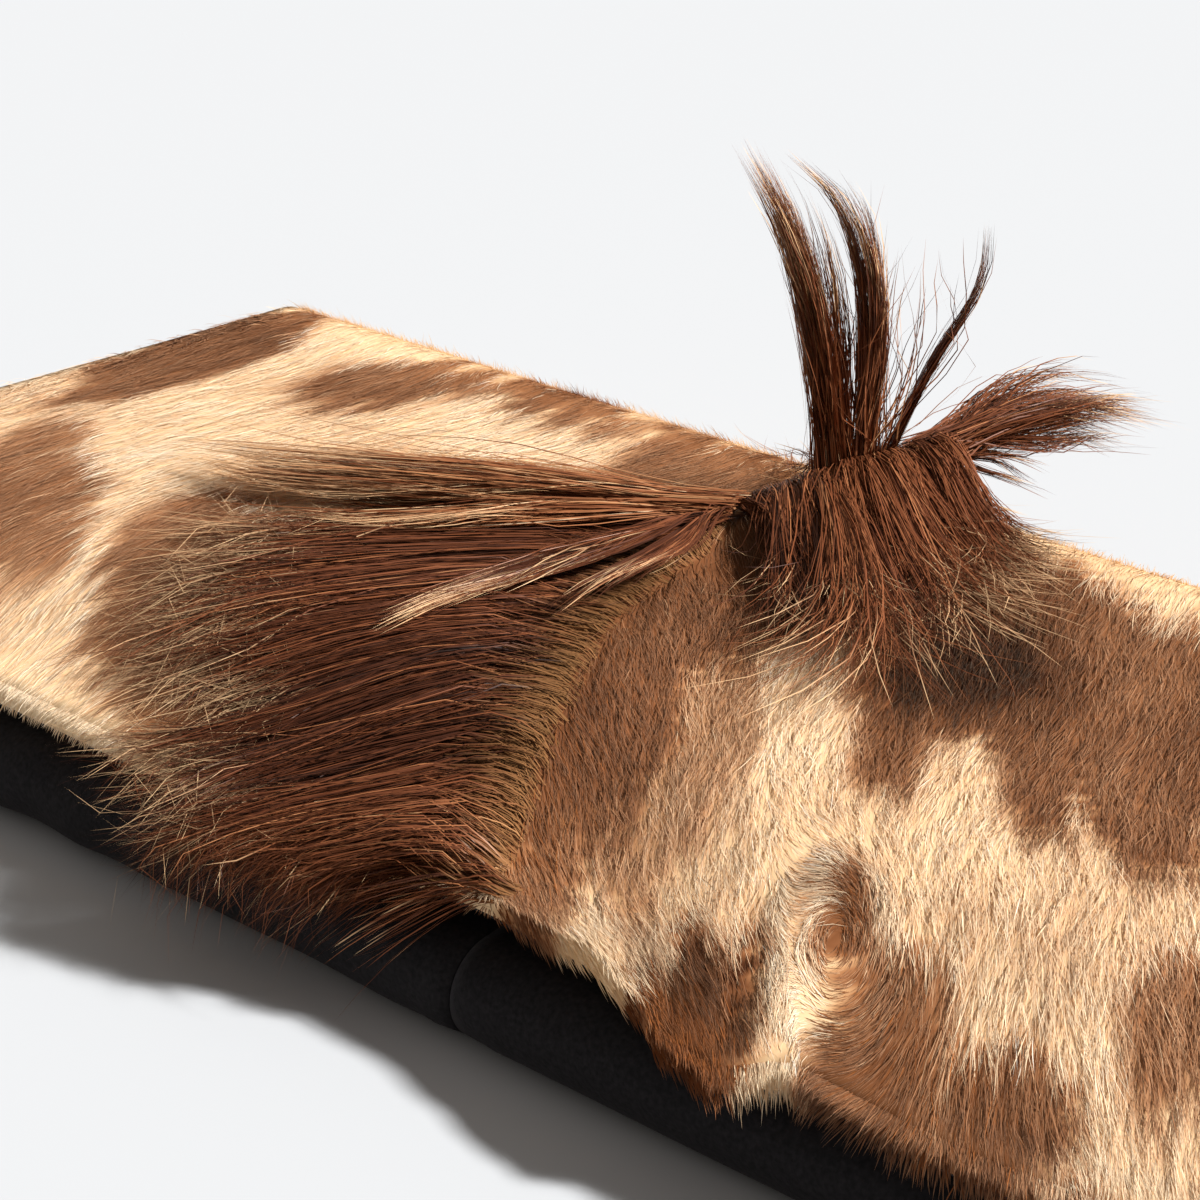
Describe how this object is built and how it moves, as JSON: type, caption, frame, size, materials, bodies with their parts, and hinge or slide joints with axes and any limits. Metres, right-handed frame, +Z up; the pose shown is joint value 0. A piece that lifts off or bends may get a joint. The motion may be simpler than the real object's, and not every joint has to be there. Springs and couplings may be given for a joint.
{
  "type": "folded animal hide",
  "caption": "Giraffe neck hide with its mane, lined in black suede cloth and folded back and forth, lying flat.",
  "frame": {"origin": "on the surface it lies on, under the middle of the folded bundle", "axes": "+X along the folds, +Y from the near lined fold to the far hair fold, +Z up"},
  "size_m": [0.4648, 0.2998, 0.1401],
  "materials": {
    "hide": "hair on, cream with brown spots",
    "lining": "matt suede nap",
    "mane": "long coarse hair, pale at its tips"
  },
  "bodies": {
    "root": {"hide": "hide", "lining_left": "lining", "lining_right": "lining", "mane_fall": "mane", "mane_crest": "mane"}
  },
  "joints": []
}
